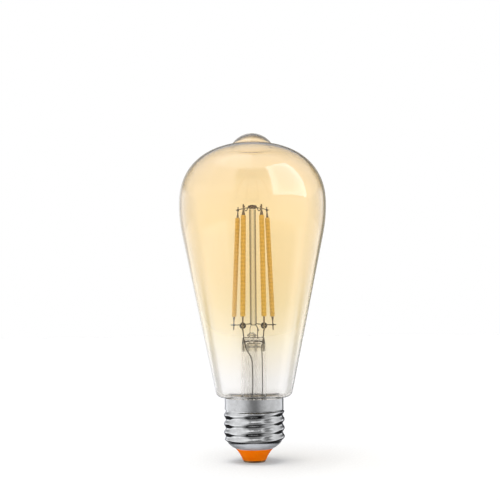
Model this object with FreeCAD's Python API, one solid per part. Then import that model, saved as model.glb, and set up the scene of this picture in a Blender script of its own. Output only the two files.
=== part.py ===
"""A pear-shaped LED filament lamp with a standard screw cap, as separate pieces.

Millimetres, +Z up. The origin is the middle of the foot contact's flat face, so the lamp
stands on its contact with the glass above. -Y is the front: two filaments stand before
the glass rod and two behind it, and the lamp is the same on its left and right.
"""
import FreeCAD, Part
import math
import os

V = FreeCAD.Vector
UP = V(0, 0, 1)
SIDES = {"left": -1, "right": 1}

# screw cap
CREST_R = 13.1            # thread crest
ROOT_R = 12.3             # thread root
PITCH = 3.629             # seven threads to the inch, right-handed
SHELL_WALL = 0.32
SKIRT_R = 12.67
SKIRT_Z = 22.3            # the step between the thread and the plain skirt
SKIRT_TOP = 27.1
BOWL_TOP = 10.2           # the shell narrows below this height
BOWL_POLES = ((10.7, 7.0), (12.0, 8.6))
BOWL_INNER_POLES = ((10.3, 7.25), (11.6, 8.7))
RIM_Z = 5.75              # lower rim of the shell, crimped around the insulator
RIM_R = 8.15
RIM_W = 0.4               # width of the crimped rim, seen from below
TOP_CREST_Z = 21.65       # the uppermost crest, on the +X side
TOP_FADE = 1.0            # the crest sinks into the root over this height
BOTTOM_FADE_Z = 8.5
BOTTOM_FADE = 1.2

# insulator, contact and pin
CONTACT_R = 4.75
CONTACT_T = 0.9
CONTACT_EDGE = 0.35
PIN_R = 1.0
PIN_TOP = 9.9
PIN_HEAD_R = 1.7
FLANGE_R = 10.4
FLANGE_Z = (8.6, 9.4)
GAP = 0.03                # clearance between pieces that are fitted together

# glass envelope
WALL = 0.8
NECK_R = 11.2
NECK_Z = 20.3             # the neck ends here, sealed to the stem's flare
NECK_TOP = 25.9
NECK_FILLET = 1.5
SHOULDER_R = 3.2
SHOULDER_CENTRE = 13.57
CONE_ANGLE = math.radians(11.7)
CONE_TOP = 98.0
BELLY_R = 32.1
CROWN_Z = 137.8
CROWN_POWER = 2.3         # a dome fuller than an ellipse, whose power is 2
PIP_R = 10.5
TOTAL_H = 142.4
PIP_FILLET = 1.3

# stem
STEM_TOP_R = 5.25
STEM_LOW_R = 5.5
STEM_WALL = 1.0
FLARE_Z = 29.5
FLARE_BASE = 19.5
PINCH_Z = 48.5
PINCH_TOP = 53.2
PINCH_HALF = (4.9, 2.5)
CAVITY_TOP = 50.0
CAVITY_HALF = (3.9, 2.5)
EXHAUST_X = -0.7
EXHAUST_R = 2.3
EXHAUST_BORE = 1.5
EXHAUST_TIP = 21.5
VENT_R = 0.9

# rod and bead
ROD_R = 1.5
ROD_Z = (58.2, 109.05)
BEAD_R = 2.0
BEAD_T = 1.6

# filaments: where the coat's axis starts and ends, for the left one of each pair
COAT_Z = (62.0, 105.6)
FRONT_LOW = (-4.48, -8.45)
FRONT_HIGH = (-3.93, -6.55)
REAR_LOW = (-8.45, 4.48)
REAR_HIGH = (-6.55, 3.93)
COAT_W = 2.1
COAT_T = 1.75
COAT_CORNER = 0.7
COAT_END = 0.25
LEG_Z = (56.2, 110.3)     # the ends of the legs below and above
STRIP_W = 1.1
STRIP_T = 0.4
CHIP_COUNT = 26
CHIP_SIZE = (0.6, 0.16, 1.0)
TAB_T = 0.25
TAB_W = 1.6
LEG_W = 0.65
TAPER = 1.8
FRONT_SUNK = 2.1          # the front pair's lower tabs sit this much deeper in the coat
END_INSET = 0.5           # from the end of the coat to the end of the strip
CHIP_INSET = 2.6          # from the end of the coat to the first chip

# wires
LEAD_D = 0.5
CROSS_D = 0.42
CROSS_Z = 58.45
UPPER_D = 0.36
UPPER_FRONT_Z = 109.3     # where the upper wires meet the front and the rear legs
UPPER_REAR_Z = 108.9
LOOP_R = 1.0
LOOP_D = 0.84
LOOP_Z = 58.15
LEAD_X = 4.6
WELD_R = 0.5

# electronics in the cap
SLEEVE_R = 10.9
SLEEVE_WALL = 0.35
BOARD_W = 17.6
BOARD_Z = (10.2, 18.9)
BOARD_T = 1.0


def smooth(x):
    """0 below 0, 1 above 1, and an even step between."""
    x = min(max(x, 0.0), 1.0)
    return x * x * (3 - 2 * x)


def flat(points):
    """Points of a half section, (radius, height), in the XZ plane."""
    return [V(r, 0, z) for r, z in points]


def line(a, b):
    return Part.LineSegment(V(a[0], 0, a[1]), V(b[0], 0, b[1])).toShape()


def arc(a, b, c):
    return Part.Arc(*flat((a, b, c))).toShape()


def bezier(*points):
    curve = Part.BezierCurve()
    curve.setPoles(flat(points))
    return curve.toShape()


def turned(edges):
    """The solid of revolution of a closed half section."""
    return Part.Face(Part.Wire(Part.__sortEdges__(edges))).revolve(V(), UP, 360)


def turned_polygon(points):
    return turned([line(a, b) for a, b in zip(points, points[1:] + points[:1])])


def tube(outer, inner, z0, z1):
    return turned_polygon([(inner, z0), (outer, z0), (outer, z1), (inner, z1)])


def rod(radius, start, end):
    start, end = V(*start), V(*end)
    return Part.makeCylinder(radius, (end - start).Length, start, end - start)


def box(x, y, z):
    """A box from its three ranges."""
    return Part.makeBox(x[1] - x[0], y[1] - y[0], z[1] - z[0], V(x[0], y[0], z[0]))


def ball(radius, centre):
    return Part.makeSphere(radius, V(*centre))


def wire(diameter, points):
    """A round wire along straight runs, with a tangent arc at each bend."""
    points = [V(*p) for p in points]
    edges, last = [], points[0]
    for before, here, after in zip(points, points[1:], points[2:]):
        arm_in, arm_out = before - here, after - here
        half_turn = (math.pi - arm_in.getAngle(arm_out)) / 2
        reach = 0.45 * min(arm_in.Length, arm_out.Length)
        radius = reach / math.tan(half_turn)
        arm_in.normalize()
        arm_out.normalize()
        bisector = (arm_in + arm_out).normalize()
        start, end = here + arm_in * reach, here + arm_out * reach
        sagitta = radius / math.cos(half_turn) - radius
        edges.append(Part.LineSegment(last, start).toShape())
        edges.append(Part.Arc(start, here + bisector * sagitta, end).toShape())
        last = end
    edges.append(Part.LineSegment(last, points[-1]).toShape())
    path = Part.Wire(edges)
    section = Part.Wire(Part.makeCircle(diameter / 2, points[0], points[1] - points[0]))
    return path.makePipeShell([section], True, False)


def group(*shapes):
    """Separate solids that share one node."""
    return Part.Compound([solid for shape in shapes for solid in shape.Solids])


# ---- screw cap ----

def crest_height(angle, z):
    """How far the thread stands out of its root, which fades at both ends."""
    phase = 2 * math.pi * (z - TOP_CREST_Z) / PITCH - angle
    fade = smooth((SKIRT_Z - z) / TOP_FADE) * smooth((z - BOTTOM_FADE_Z) / BOTTOM_FADE)
    return (CREST_R - ROOT_R) * fade * (0.5 + 0.5 * math.cos(phase))


def threaded_face(bowl, root, top):
    """The bowl and thread as one surface, and the curves that end it."""
    turn_steps, bowl_steps, thread_steps = 48, 8, 36
    curve = Part.BezierCurve()
    curve.setPoles(flat(bowl))
    on_bowl = [curve.value(i / bowl_steps) for i in range(bowl_steps)]
    rise = top - BOWL_TOP
    base = [(p.x, p.z) for p in on_bowl]
    base += [(root, BOWL_TOP + rise * i / thread_steps) for i in range(thread_steps + 1)]
    rows = []
    for i in range(turn_steps + 1):
        angle = 2 * math.pi * (i % turn_steps) / turn_steps
        row = []
        for radius, z in base:
            radius += crest_height(angle, z)
            row.append(V(radius * math.cos(angle), radius * math.sin(angle), z))
        rows.append(row)
    surface = Part.BSplineSurface()
    surface.interpolate(rows)
    surface.setUPeriodic()
    face = surface.toShape()
    ends = [edge for edge in face.Edges if edge.isClosed()]
    ends.sort(key=lambda edge: edge.BoundBox.ZMax)
    return face, Part.Wire(ends[0]), Part.Wire(ends[-1])


def ring_face(outer, inner):
    return Part.makeFace([outer, inner], "Part::FaceMakerBullseye")


def circle(radius, z):
    return Part.Wire(Part.makeCircle(radius, V(0, 0, z)))


def wall_face(radius, z0, z1):
    """The round side of a cylinder."""
    solid = Part.makeCylinder(radius, z1 - z0, V(0, 0, z0))
    return max(solid.Faces, key=lambda face: face.BoundBox.ZLength)


def screw_shell():
    """Pressed sheet: a plain skirt, the thread, and a bowl crimped at its lower rim."""
    bore = ROOT_R - SHELL_WALL
    skirt_bore = SKIRT_R - SHELL_WALL
    step_top = SKIRT_Z + SHELL_WALL
    outer, outer_rim, outer_top = threaded_face(
        [(RIM_R, RIM_Z), *BOWL_POLES, (ROOT_R, BOWL_TOP)], ROOT_R, SKIRT_Z)
    inner, inner_rim, inner_top = threaded_face(
        [(RIM_R - RIM_W, RIM_Z), *BOWL_INNER_POLES, (bore, BOWL_TOP)], bore, step_top)
    faces = [
        outer,
        inner,
        ring_face(outer_rim, inner_rim),
        ring_face(circle(SKIRT_R, SKIRT_Z), outer_top),
        ring_face(circle(skirt_bore, step_top), inner_top),
        wall_face(SKIRT_R, SKIRT_Z, SKIRT_TOP),
        wall_face(skirt_bore, step_top, SKIRT_TOP),
        ring_face(circle(SKIRT_R, SKIRT_TOP), circle(skirt_bore, SKIRT_TOP)),
    ]
    shell = Part.Compound(faces)
    shell.sewShape(1e-4)
    solid = Part.Solid(shell.Shells[0])
    if solid.Volume < 0:
        solid.reverse()
    return solid


def insulator():
    """Moulded cone between the shell and the contact, with a flange inside the shell."""
    plug = RIM_R - RIM_W - GAP
    low, high = FLANGE_Z
    outside = [
        line((PIN_R + GAP, CONTACT_T), (5.1, CONTACT_T)),
        arc((5.1, CONTACT_T), (6.3, 3.4), (RIM_R, RIM_Z - GAP)),
        line((RIM_R, RIM_Z - GAP), (plug, RIM_Z - GAP)),
        line((plug, RIM_Z - GAP), (plug, low)),
        line((plug, low), (FLANGE_R, low)),
        line((FLANGE_R, low), (FLANGE_R, high)),
        line((FLANGE_R, high), (PIN_R + GAP, high)),
        line((PIN_R + GAP, high), (PIN_R + GAP, CONTACT_T)),
    ]
    return turned(outside).cut(tube(6.2, 2.4, 5.2, high + 1))


def foot_contact():
    disc = Part.makeCylinder(CONTACT_R, CONTACT_T)
    lower = [edge for edge in disc.Edges if edge.BoundBox.ZMax < CONTACT_T / 2]
    return disc.makeFillet(CONTACT_EDGE, lower)


def contact_pin():
    head = rod(PIN_HEAD_R, (0, 0, FLANGE_Z[1]), (0, 0, PIN_TOP))
    return rod(PIN_R, (0, 0, CONTACT_T), (0, 0, PIN_TOP)).fuse(head).removeSplitter()


def cap_cement():
    return tube(SKIRT_R - SHELL_WALL - GAP, NECK_R + GAP, SKIRT_Z + 2 * SHELL_WALL, NECK_TOP)


# ---- glass ----

def dome_point(t, inset):
    """A point of the dome, from the belly at 0 to the crown at 1, moved in by inset."""
    height = CROWN_Z - belly_z()
    c, s = math.cos(t * math.pi / 2), math.sin(t * math.pi / 2)
    r = BELLY_R * c ** (2 / CROWN_POWER)
    z = height * s ** (2 / CROWN_POWER)
    normal_r = (r / BELLY_R) ** (CROWN_POWER - 1) / BELLY_R
    normal_z = (z / height) ** (CROWN_POWER - 1) / height
    length = math.hypot(normal_r, normal_z)
    return r - inset * normal_r / length, belly_z() + z - inset * normal_z / length


def cone_radius(z):
    start_r = SHOULDER_CENTRE + SHOULDER_R * math.cos(CONE_ANGLE)
    start_z = NECK_TOP + NECK_FILLET + SHOULDER_R * (1 - math.sin(CONE_ANGLE))
    return start_r + (z - start_z) * math.tan(CONE_ANGLE)


def belly_arc_radius():
    return (BELLY_R - cone_radius(CONE_TOP)) / (1 - math.cos(CONE_ANGLE))


def belly_z():
    return CONE_TOP + belly_arc_radius() * math.sin(CONE_ANGLE)


def around(centre, radius, angle):
    return centre[0] + radius * math.cos(angle), centre[1] + radius * math.sin(angle)


def glass_body(inset, end_z):
    """The pear shape as a solid: neck, shoulder, cone, belly and dome."""
    neck = NECK_R - inset
    hollow = (NECK_R + NECK_FILLET, NECK_TOP)
    hollow_r = NECK_FILLET + inset
    shoulder = (SHOULDER_CENTRE, NECK_TOP + NECK_FILLET + SHOULDER_R)
    shoulder_r = SHOULDER_R - inset
    belly_r = belly_arc_radius()
    belly = (BELLY_R - belly_r, belly_z())
    neck_corner = around(hollow, hollow_r, math.pi)
    ledge_start = around(hollow, hollow_r, math.pi / 2)
    ledge_end = around(shoulder, shoulder_r, -math.pi / 2)
    cone_start = around(shoulder, shoulder_r, -CONE_ANGLE)
    cone_end = around(belly, belly_r - inset, -CONE_ANGLE)
    widest = around(belly, belly_r - inset, 0)
    steps = 20
    spots = flat([dome_point(i / steps, inset) for i in range(steps + 1)])
    dome = Part.BSplineCurve()
    dome.interpolate(spots, InitialTangent=V(0, 0, 1), FinalTangent=V(-1, 0, 0), Scale=True)
    middle = (-math.pi / 2 - CONE_ANGLE) / 2
    edges = [
        line((0, end_z), (neck, end_z)),
        line((neck, end_z), neck_corner),
        arc(neck_corner, around(hollow, hollow_r, 0.75 * math.pi), ledge_start),
        line(ledge_start, ledge_end),
        arc(ledge_end, around(shoulder, shoulder_r, middle), cone_start),
        line(cone_start, cone_end),
        arc(cone_end, around(belly, belly_r - inset, -CONE_ANGLE / 2), widest),
        dome.toShape(),
        line((0, CROWN_Z - inset), (0, end_z)),
    ]
    return turned(edges)


def with_pip(body, inset):
    """Adds the sealed pip at the crown, blended into the dome."""
    radius = PIP_R - inset
    centre = TOTAL_H - PIP_R
    cap = Part.makeSphere(radius, V(0, 0, centre))
    cap = cap.cut(Part.makeBox(40, 40, 20, V(-20, -20, centre - 20)))
    joined = body.fuse(cap)
    seam = [e for e in joined.Edges
            if e.BoundBox.ZMin > centre + 1 and e.BoundBox.ZLength < 0.1
            and 4 < e.BoundBox.XMax < radius]
    return joined.makeFillet(PIP_FILLET + inset, seam)


def glass_envelope():
    outer = with_pip(glass_body(0, NECK_Z), 0)
    inner = with_pip(glass_body(WALL, NECK_Z - 1), WALL)
    return outer.cut(inner)


def ellipse_wire(half, z):
    curve = Part.Ellipse(V(half[0], 0, z), V(0, half[1], z), V(0, 0, z))
    return Part.Wire(curve.toShape())


def glass_stem(embedded):
    """Flare, tube and flattened top in one piece of glass, around the wires sealed in it."""
    wall = [
        line((STEM_TOP_R - STEM_WALL, PINCH_Z), (STEM_TOP_R, PINCH_Z)),
        line((STEM_TOP_R, PINCH_Z), (STEM_LOW_R, FLARE_Z)),
        bezier((STEM_LOW_R, FLARE_Z), (STEM_LOW_R, 24.5), (7.8, 21.6), (NECK_R - WALL, NECK_Z)),
        line((NECK_R - WALL, NECK_Z), (NECK_R, NECK_Z)),
        line((NECK_R, NECK_Z), (NECK_R, FLARE_BASE)),
        line((NECK_R, FLARE_BASE), (10.0, FLARE_BASE)),
        bezier((10.0, FLARE_BASE), (7.2, 20.9), (4.5, 24.2), (STEM_LOW_R - STEM_WALL, FLARE_Z)),
        line((STEM_LOW_R - STEM_WALL, FLARE_Z), (STEM_TOP_R - STEM_WALL, PINCH_Z)),
    ]
    pinch = Part.makeLoft([circle(STEM_TOP_R, PINCH_Z), ellipse_wire(PINCH_HALF, PINCH_TOP)], True)
    rim = [e for e in pinch.Edges if e.BoundBox.ZMin > PINCH_TOP - 0.1]
    pinch = pinch.makeFillet(0.8, rim)
    cavity = Part.makeLoft(
        [circle(STEM_TOP_R - STEM_WALL, PINCH_Z), ellipse_wire(CAVITY_HALF, CAVITY_TOP)], True)
    nipple = ball(EXHAUST_R, (EXHAUST_X, 0, PINCH_TOP - 0.2))
    nipple = nipple.cut(box((-9, 9), (-9, 9), (PINCH_TOP - 9, PINCH_TOP - 0.2)))
    vent = rod(VENT_R, (EXHAUST_X, 0, CAVITY_TOP - 1), (EXHAUST_X, 0, PINCH_TOP + 9))
    glass = pinch.fuse(nipple).cut(cavity).cut(vent).fuse(turned(wall))
    for piece in embedded:
        glass = glass.cut(piece)
    return glass


def exhaust_tube():
    """The pumping tube, melted shut at its lower tip."""
    middle = (0, EXHAUST_TIP + EXHAUST_R)
    outer = [around(middle, EXHAUST_R, -math.pi / 4 * i) for i in range(3)]
    inner = [around(middle, EXHAUST_BORE, -math.pi / 4 * i) for i in range(3)]
    edges = [
        line((EXHAUST_BORE, CAVITY_TOP), (EXHAUST_R, CAVITY_TOP)),
        line((EXHAUST_R, CAVITY_TOP), outer[0]),
        arc(*outer),
        line(outer[2], inner[2]),
        arc(*inner),
        line(inner[0], (EXHAUST_BORE, CAVITY_TOP)),
    ]
    return turned(edges).translated(V(EXHAUST_X, 0, 0))


def support_rod(embedded):
    glass = Part.makeCylinder(ROD_R, ROD_Z[1] - ROD_Z[0], V(0, 0, ROD_Z[0]))
    lower = [e for e in glass.Edges if e.BoundBox.ZMax < ROD_Z[0] + 0.1]
    glass = glass.makeFillet(0.9, lower)
    for piece in embedded:
        glass = glass.cut(piece)
    return glass


def rod_top_bead(embedded):
    """The flattened glass button that holds the upper wires."""
    z0, z1 = ROD_Z[1], ROD_Z[1] + BEAD_T
    flat_r = BEAD_R - BEAD_T / 2
    glass = turned([
        line((0, z0), (flat_r, z0)),
        arc((flat_r, z0), (BEAD_R, (z0 + z1) / 2), (flat_r, z1)),
        line((flat_r, z1), (0, z1)),
        line((0, z1), (0, z0)),
    ])
    for piece in embedded:
        glass = glass.cut(piece)
    return glass


# ---- filaments ----

class Filament:
    """One leaning filament: its axis, and where its legs pass a given height."""

    def __init__(self, name, low, high, side, sunk):
        mirror = -side
        self.name = name
        self.sunk = sunk
        self.low = V(low[0] * mirror, low[1], COAT_Z[0])
        self.high = V(high[0] * mirror, high[1], COAT_Z[1])
        self.axis = (self.high - self.low).normalize()
        self.length = (self.high - self.low).Length
        outward = V(self.low.x, self.low.y, 0).normalize()
        self.across = self.axis.cross(outward).normalize()
        self.outward = self.across.cross(self.axis).normalize()

    def at(self, z):
        return self.low + self.axis * ((z - COAT_Z[0]) / self.axis.z)

    def placed(self, shape):
        """From a frame with the axis on Z, the width on X and outward on Y."""
        w, o, a, p = self.across, self.outward, self.axis, self.low
        shape.Placement = FreeCAD.Placement(FreeCAD.Matrix(
            -w.x, o.x, a.x, p.x, -w.y, o.y, a.y, p.y, -w.z, o.z, a.z, p.z, 0, 0, 0, 1))
        return shape

    def strip_solid(self):
        return box((-STRIP_W / 2, STRIP_W / 2), (-STRIP_T / 2, STRIP_T / 2),
                   (END_INSET + self.sunk, self.length - END_INSET))

    def chip_solids(self):
        width, thick, height = CHIP_SIZE
        first, last = CHIP_INSET + self.sunk, self.length - CHIP_INSET
        spots = [first + (last - first) * i / (CHIP_COUNT - 1) for i in range(CHIP_COUNT)]
        return [box((-width / 2, width / 2), (STRIP_T / 2, STRIP_T / 2 + thick),
                    (z - height / 2, z + height / 2)) for z in spots]

    def tab_solid(self, upper, reach):
        """A plate forked over the strip's end, narrowing to a leg."""
        sunk = 0 if upper else self.sunk
        fork, shoulder = 1.2 + sunk, sunk - 0.35
        half, leg = TAB_W / 2, LEG_W / 2
        outline = [(-half, fork), (half, fork), (half, shoulder), (leg, shoulder - TAPER),
                   (leg, -reach), (-leg, -reach), (-leg, shoulder - TAPER), (-half, shoulder)]
        corners = [V(x, -TAB_T / 2, z) for x, z in outline]
        plate = Part.Face(Part.makePolygon(corners + corners[:1])).extrude(V(0, TAB_T, 0))
        if upper:
            plate.rotate(V(0, 0, self.length / 2), V(0, 1, 0), 180)
        return plate.cut(self.strip_solid())

    def tab_solids(self):
        below = (COAT_Z[0] - LEG_Z[0]) / self.axis.z
        above = (LEG_Z[1] - COAT_Z[1]) / self.axis.z
        return [self.tab_solid(False, below), self.tab_solid(True, above)]

    def coat_solid(self):
        """Soft yellow coat with rounded sides and ends, around everything inside it."""
        coat = box((-COAT_W / 2, COAT_W / 2), (-COAT_T / 2, COAT_T / 2), (0, self.length))
        long_edges = [e for e in coat.Edges if e.BoundBox.ZLength > 1]
        coat = coat.makeFillet(COAT_CORNER, long_edges)
        ends = [e for e in coat.Edges if e.BoundBox.ZLength < 0.01]
        coat = coat.makeFillet(COAT_END, ends)
        for piece in [self.strip_solid()] + self.tab_solids() + self.chip_solids():
            coat = coat.cut(piece)
        return coat

    def nodes(self):
        return {
            self.name + "_strip": self.placed(self.strip_solid()),
            self.name + "_chips": self.placed(Part.Compound(self.chip_solids())),
            self.name + "_tabs": self.placed(Part.Compound(self.tab_solids())),
            self.name + "_coat": self.placed(self.coat_solid()),
        }


def filaments():
    made = {}
    for word, side in SIDES.items():
        made["front_" + word] = Filament(
            "filament_front_" + word, FRONT_LOW, FRONT_HIGH, side, FRONT_SUNK)
        made["rear_" + word] = Filament("filament_rear_" + word, REAR_LOW, REAR_HIGH, side, 0)
    return made


# ---- wires inside the glass ----

def lead_in_wire(side):
    """From the driver board up through the stem to the loop that grips the cross wire."""
    top = (side * LEAD_X, 0, LOOP_Z - LOOP_R - LOOP_D / 2 - GAP)
    in_pinch = (side * 4.3, 0, PINCH_TOP)
    if side < 0:
        route = [top, in_pinch, (-3.3, -0.6, CAVITY_TOP), (-3.0, -2.2, 48.0), (-0.6, -3.2, 44.0),
                 (-0.4, -3.2, 32.0), (-1.2, -3.0, 23.5), (-2.3, -0.78, 18.2)]
    else:
        route = [top, in_pinch, (3.3, 0, CAVITY_TOP), (3.75, 0, 45.5),
                 (3.8, 0, 31.0), (3.3, -0.5, 23.5), (2.3, -0.78, 18.2)]
    return wire(LEAD_D, route)


def lead_loop(side):
    """The end of the lead-in wire: two turns around the cross wire."""
    turns = []
    for y in (-1, 1):
        centre = V(side * LEAD_X, y * (LOOP_D + GAP) / 2, LOOP_Z)
        turns.append(Part.makeTorus(LOOP_R, LOOP_D / 2, centre, V(0, 1, 0)))
    return group(*turns)


def rod_holder(side):
    """A short wire from each loop into the foot of the glass rod."""
    return rod(0.2, (side * (LEAD_X - LOOP_R - LOOP_D / 2), 0, 58.75), (side * 0.9, 0, 58.95))


def lower_cross_wire(side, rear, front):
    """Carries the feet of one rear and one front filament, through the loop between."""
    across = TAB_T / 2 + CROSS_D / 2 + GAP
    passing = rear.at(CROSS_Z) - V(0, 0.58, 0)
    foot = front.at(CROSS_Z) - front.outward * across
    return wire(CROSS_D, [
        (side * 9.95, passing.y + 0.5, CROSS_Z),
        (side * 7.9, passing.y - 0.3, CROSS_Z),
        (side * 4.85, 1.2, CROSS_Z),
        (side * 4.5, -1.2, CROSS_Z),
        (foot.x, foot.y, CROSS_Z),
    ])


def upper_wire_front(side, filament):
    """Droops from the bead and rises to the top leg of a front filament."""
    end = filament.at(UPPER_FRONT_Z) - filament.outward * (TAB_T / 2 + 0.12)
    return wire(UPPER_D, [
        (side * 0.9, -0.9, 109.9),
        (side * 2.1, -2.2, 109.4),
        (side * 2.5, -3.4, 107.7),
        (side * 3.5, -5.0, 107.9),
        (end.x, end.y, end.z),
    ])


def upper_wire_rear(side, filament):
    """Runs from the bead past the top leg of a rear filament."""
    leg = filament.at(UPPER_REAR_Z)
    return wire(UPPER_D, [
        (side * 0.9, 0.6, 109.8),
        (side * 3.5, 2.0, 109.6),
        (leg.x + side * 0.9, leg.y - 0.35, leg.z),
    ])


def prop_wire_right():
    return wire(0.36, [(1.75, -0.3, 52.3), (1.8, -0.3, 55.0), (2.05, -0.3, 56.8), (0.7, -0.6, 58.9)])


def prop_wire_left():
    return wire(0.24, [(-1.5, -0.2, 54.2), (-1.5, -0.3, 57.2), (-0.65, -0.6, 58.9)])


def prop_bead(prop):
    return ball(0.55, (2.0, -0.3, 56.3)).cut(prop)


def weld_beads(spots, pieces):
    """Drops of weld where the legs meet the wires."""
    beads = []
    tilted = V(1, 0.3, 0.2)
    for spot in spots:
        bead = Part.makeSphere(WELD_R, spot, tilted)
        for piece in pieces:
            bead = bead.cut(piece)
        beads.append(max(bead.Solids, key=lambda solid: solid.Volume))
    return Part.Compound(beads)


# ---- electronics in the cap ----

def insulating_sleeve():
    return tube(SLEEVE_R, SLEEVE_R - SLEEVE_WALL, FLANGE_Z[1] + GAP, FLARE_BASE - 0.75)


def driver_board():
    board = box((-BOARD_W / 2, BOARD_W / 2), (-BOARD_T / 2, BOARD_T / 2), BOARD_Z)
    corners = [e for e in board.Edges if abs(e.BoundBox.YLength - BOARD_T) < 0.01
               and e.BoundBox.XLength < 0.01 and e.BoundBox.ZLength < 0.01]
    return board.makeFillet(0.8, corners)


def capacitor_base():
    base = box((-7.5, -1.1), (-1.3, -0.5), (11.2, 17.6))
    edges = [e for e in base.Edges if e.BoundBox.YLength > 0.7 and e.BoundBox.XMax < -7]
    return base.makeChamfer(0.9, edges)


def capacitor_can():
    can = rod(3.0, (-4.3, -1.3, 14.4), (-4.3, -6.3, 14.4))
    end = [e for e in can.Edges if e.BoundBox.YMax < -6.2]
    return can.makeFillet(0.4, end)


def inductor_core():
    """A drum of ferrite with its winding left out."""
    drum = rod(3.0, (4.7, -0.5, 14.0), (4.7, -5.3, 14.0))
    groove = rod(3.1, (4.7, -1.3, 14.0), (4.7, -4.5, 14.0)).cut(
        rod(1.5, (4.7, -1.3, 14.0), (4.7, -4.5, 14.0)))
    return drum.cut(groove)


def inductor_winding():
    return rod(2.7, (4.7, -1.33, 14.0), (4.7, -4.47, 14.0)).cut(
        rod(1.53, (4.7, -1.33, 14.0), (4.7, -4.47, 14.0)))


def packaged_chip(x, z, size, thick, leg_rows):
    """A moulded package on the board's back, with gull-wing legs on both sides."""
    face = BOARD_T / 2
    half_w, half_h = size[0] / 2, size[1] / 2
    body = box((x - half_w, x + half_w), (face + 0.1, face + 0.1 + thick), (z - half_h, z + half_h))
    legs = []
    for side in (-1, 1):
        near, far = x + side * half_w, x + side * (half_w + 0.9)
        knee = x + side * (half_w + 0.35)
        for offset in leg_rows:
            span = (z + offset - 0.2, z + offset + 0.2)
            shelf = box(sorted((near, knee)), (face + 0.5, face + 0.7), span)
            drop = box(sorted((knee - side * 0.2, knee)), (face, face + 0.7), span)
            foot = box(sorted((knee, far)), (face, face + 0.2), span)
            legs.append(shelf.fuse(drop).fuse(foot).removeSplitter())
    return group(body, *legs)


def bridge_rectifier():
    return packaged_chip(5.4, 12.2, (3.4, 2.8), 1.5, (-0.9, 0.9))


def driver_chip():
    return packaged_chip(5.4, 16.6, (3.0, 3.6), 1.2, (-1.35, -0.45, 0.45, 1.35))


def chip_parts():
    """Small chip resistors and capacitors in a column on the board's front."""
    return group(*[box((-0.4, 0.4), (-1.0, -0.5), (z - 0.7, z + 0.7))
                   for z in (11.2, 13.1, 15.0, 16.9)])


def fuse_resistor():
    """An axial resistor with its lower lead on the contact side, its upper on the board."""
    body = rod(0.95, (0.25, -3.2, 11.0), (0.25, -3.2, 15.8))
    rims = [e for e in body.Edges if e.BoundBox.ZLength < 0.01]
    body = body.makeFillet(0.35, rims)
    upper = wire(0.4, [(0.25, -3.2, 15.8), (0.25, -3.2, 18.2), (0.25, -0.5, 18.2)])
    return body.fuse(upper)


def live_wire():
    route = [(0, 0, PIN_TOP - 0.1), (0, -1.6, PIN_TOP + 0.2), (0.25, -3.2, 11.0)]
    return wire(0.4, route).cut(contact_pin()).cut(driver_board()).cut(fuse_resistor())


def neutral_wire():
    """From the board over the sleeve's edge to the inside of the shell."""
    return wire(0.4, [(8.1, 0.72, 17.4), (8.4, 0.72, 19.1), (11.3, 0.2, 19.2), (11.45, 0, 17.0)])


def wireless_board():
    return box((-8.4, 1.6), (0.5, 1.2), (10.6, 18.6))


def wireless_shield():
    """A thin metal lid over the radio circuit."""
    lid = box((-5.0, 1.1), (1.2, 2.9), (11.2, 18.0))
    upright = [e for e in lid.Edges if e.BoundBox.YLength > 1.6]
    return lid.makeFillet(0.4, upright).cut(box((-4.8, 0.9), (1.2, 2.7), (11.4, 17.8)))


def wireless_antenna():
    """A folded copper track on the free end of the wireless board."""
    face, width, pitch = 1.2, 0.35, 0.95
    track = [box((-5.6, -5.25), (face, face + 0.08), (11.2, 11.55))]
    for i in range(8):
        z = 11.2 + pitch * i
        track.append(box((-8.1, -5.25), (face, face + 0.08), (z, z + width)))
        if i < 7:
            x = -8.1 if i % 2 else -5.6
            track.append(box((x, x + width), (face, face + 0.08), (z, z + pitch + width)))
    joined = track[0].multiFuse(track[1:])
    return joined.removeSplitter()


def model():
    """Every node of the lamp by name."""
    lit = filaments()
    nodes = {}
    for filament in lit.values():
        nodes.update(filament.nodes())
    leads = {word: lead_in_wire(side) for word, side in SIDES.items()}
    props = {"left": prop_wire_left(), "right": prop_wire_right()}
    upper, lower, holders, welds = {}, {}, {}, []
    for word, side in SIDES.items():
        front, rear = lit["front_" + word], lit["rear_" + word]
        upper["front_" + word] = upper_wire_front(side, front)
        upper["rear_" + word] = upper_wire_rear(side, rear)
        lower[word] = lower_cross_wire(side, rear, front)
        holders[word] = rod_holder(side)
        nodes["lead_in_wire_" + word] = leads[word]
        nodes["lead_loop_" + word] = lead_loop(side)
        nodes["rod_holder_" + word] = holders[word]
        nodes["lower_cross_wire_" + word] = lower[word]
        nodes["prop_wire_" + word] = props[word]
        welds += [front.at(UPPER_FRONT_Z) - front.outward * 0.3,
                  rear.at(UPPER_REAR_Z) - V(0, 0.2, 0),
                  front.at(CROSS_Z) - front.outward * 0.3, rear.at(CROSS_Z) - V(0, 0.35, 0)]
    for place, shape in upper.items():
        nodes["upper_wire_" + place] = shape
    tabs = [nodes[f.name + "_tabs"] for f in lit.values()]
    joined = tabs + list(upper.values()) + list(lower.values())
    nodes["weld_beads"] = weld_beads(welds, joined)
    nodes["prop_bead"] = prop_bead(props["right"])
    nodes["support_rod"] = support_rod(list(holders.values()) + list(props.values()))
    nodes["rod_top_bead"] = rod_top_bead(list(upper.values()))
    nodes["glass_stem"] = glass_stem(list(leads.values()) + list(props.values()))
    singles = [glass_envelope, exhaust_tube, screw_shell, insulator, foot_contact, contact_pin,
               cap_cement, insulating_sleeve, driver_board, capacitor_base, capacitor_can,
               inductor_core, inductor_winding, bridge_rectifier, driver_chip, chip_parts,
               fuse_resistor, live_wire, neutral_wire, wireless_board, wireless_shield,
               wireless_antenna]
    for build in singles:
        nodes[build.__name__] = build()
    return nodes


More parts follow.
